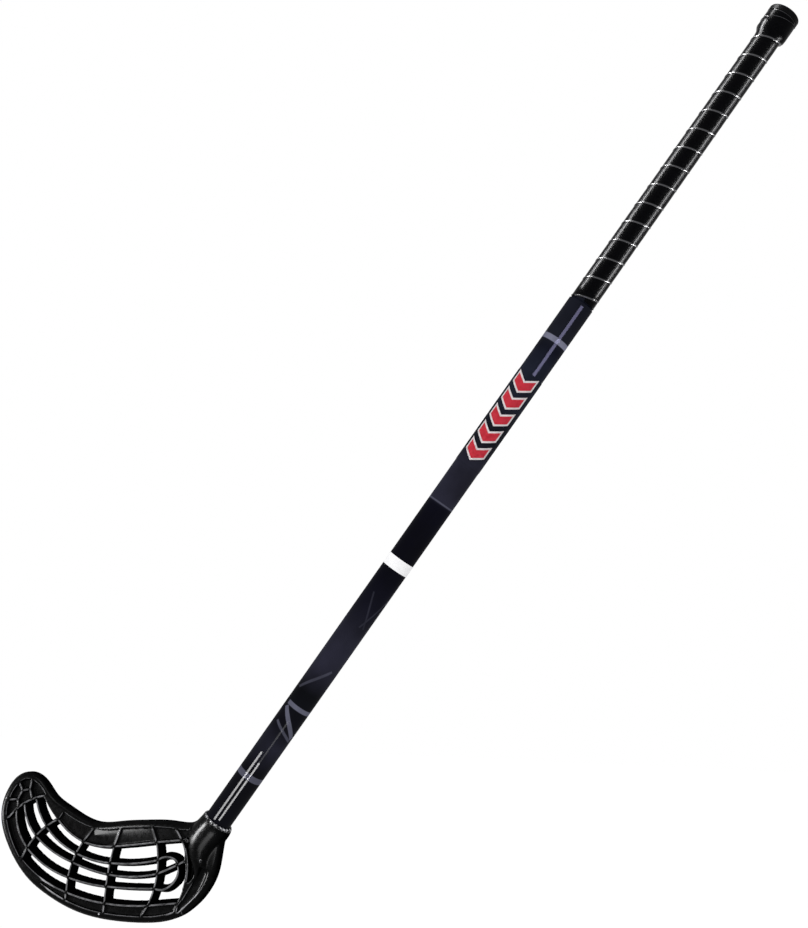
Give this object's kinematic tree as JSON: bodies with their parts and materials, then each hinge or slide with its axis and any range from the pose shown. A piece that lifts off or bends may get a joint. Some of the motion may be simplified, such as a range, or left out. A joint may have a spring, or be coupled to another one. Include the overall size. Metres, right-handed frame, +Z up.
{
  "type": "floorball stick",
  "caption": "Floorball stick: a slim round shaft with a wound grip tape and end cap, and a hooked open-lattice blade held on its foot by screws.",
  "frame": {"origin": "on the shaft's axis, in the middle of the grip's length", "axes": "+Z up in the playing stance, the shaft leaning 55 degrees from the ground towards +X; the blade's toe towards -X, its hollow side towards -Y"},
  "size_m": [0.7773, 0.0426, 0.8745],
  "materials": {
    "shaft_lacquer": "clear-lacquered composite, near black with a navy tint",
    "cap_rubber": "moulded, matt black",
    "grip_polyurethane": "soft embossed tape, black with a grey sheen",
    "band_film": "plain white adhesive film",
    "decal_film": "printed red film with a white edge",
    "blade_polyethylene": "moulded, semi-gloss black",
    "screw_steel": "black-zinc-plated steel"
  },
  "bodies": {
    "stick": {"shaft_tube": "shaft_lacquer", "end_cap": "cap_rubber", "grip_tape": "grip_polyurethane", "marking_band": "band_film", "shaft_decal": "decal_film"},
    "blade": {"blade": "blade_polyethylene"},
    "upper_screw": {"blade_screw_upper": "screw_steel"},
    "lower_screw": {"blade_screw_lower": "screw_steel"}
  },
  "joints": [
    {"name": "blade_pull_off", "type": "slide", "parent": "stick", "child": "blade", "axis": [-0.5736, 0, -0.8192], "range_m": [0, 0.06]},
    {"name": "upper_screw_out", "type": "slide", "parent": "blade", "child": "upper_screw", "axis": [0, 1, 0], "range_m": [0, 0.012]},
    {"name": "lower_screw_out", "type": "slide", "parent": "blade", "child": "lower_screw", "axis": [0, 1, 0], "range_m": [0, 0.012]}
  ]
}
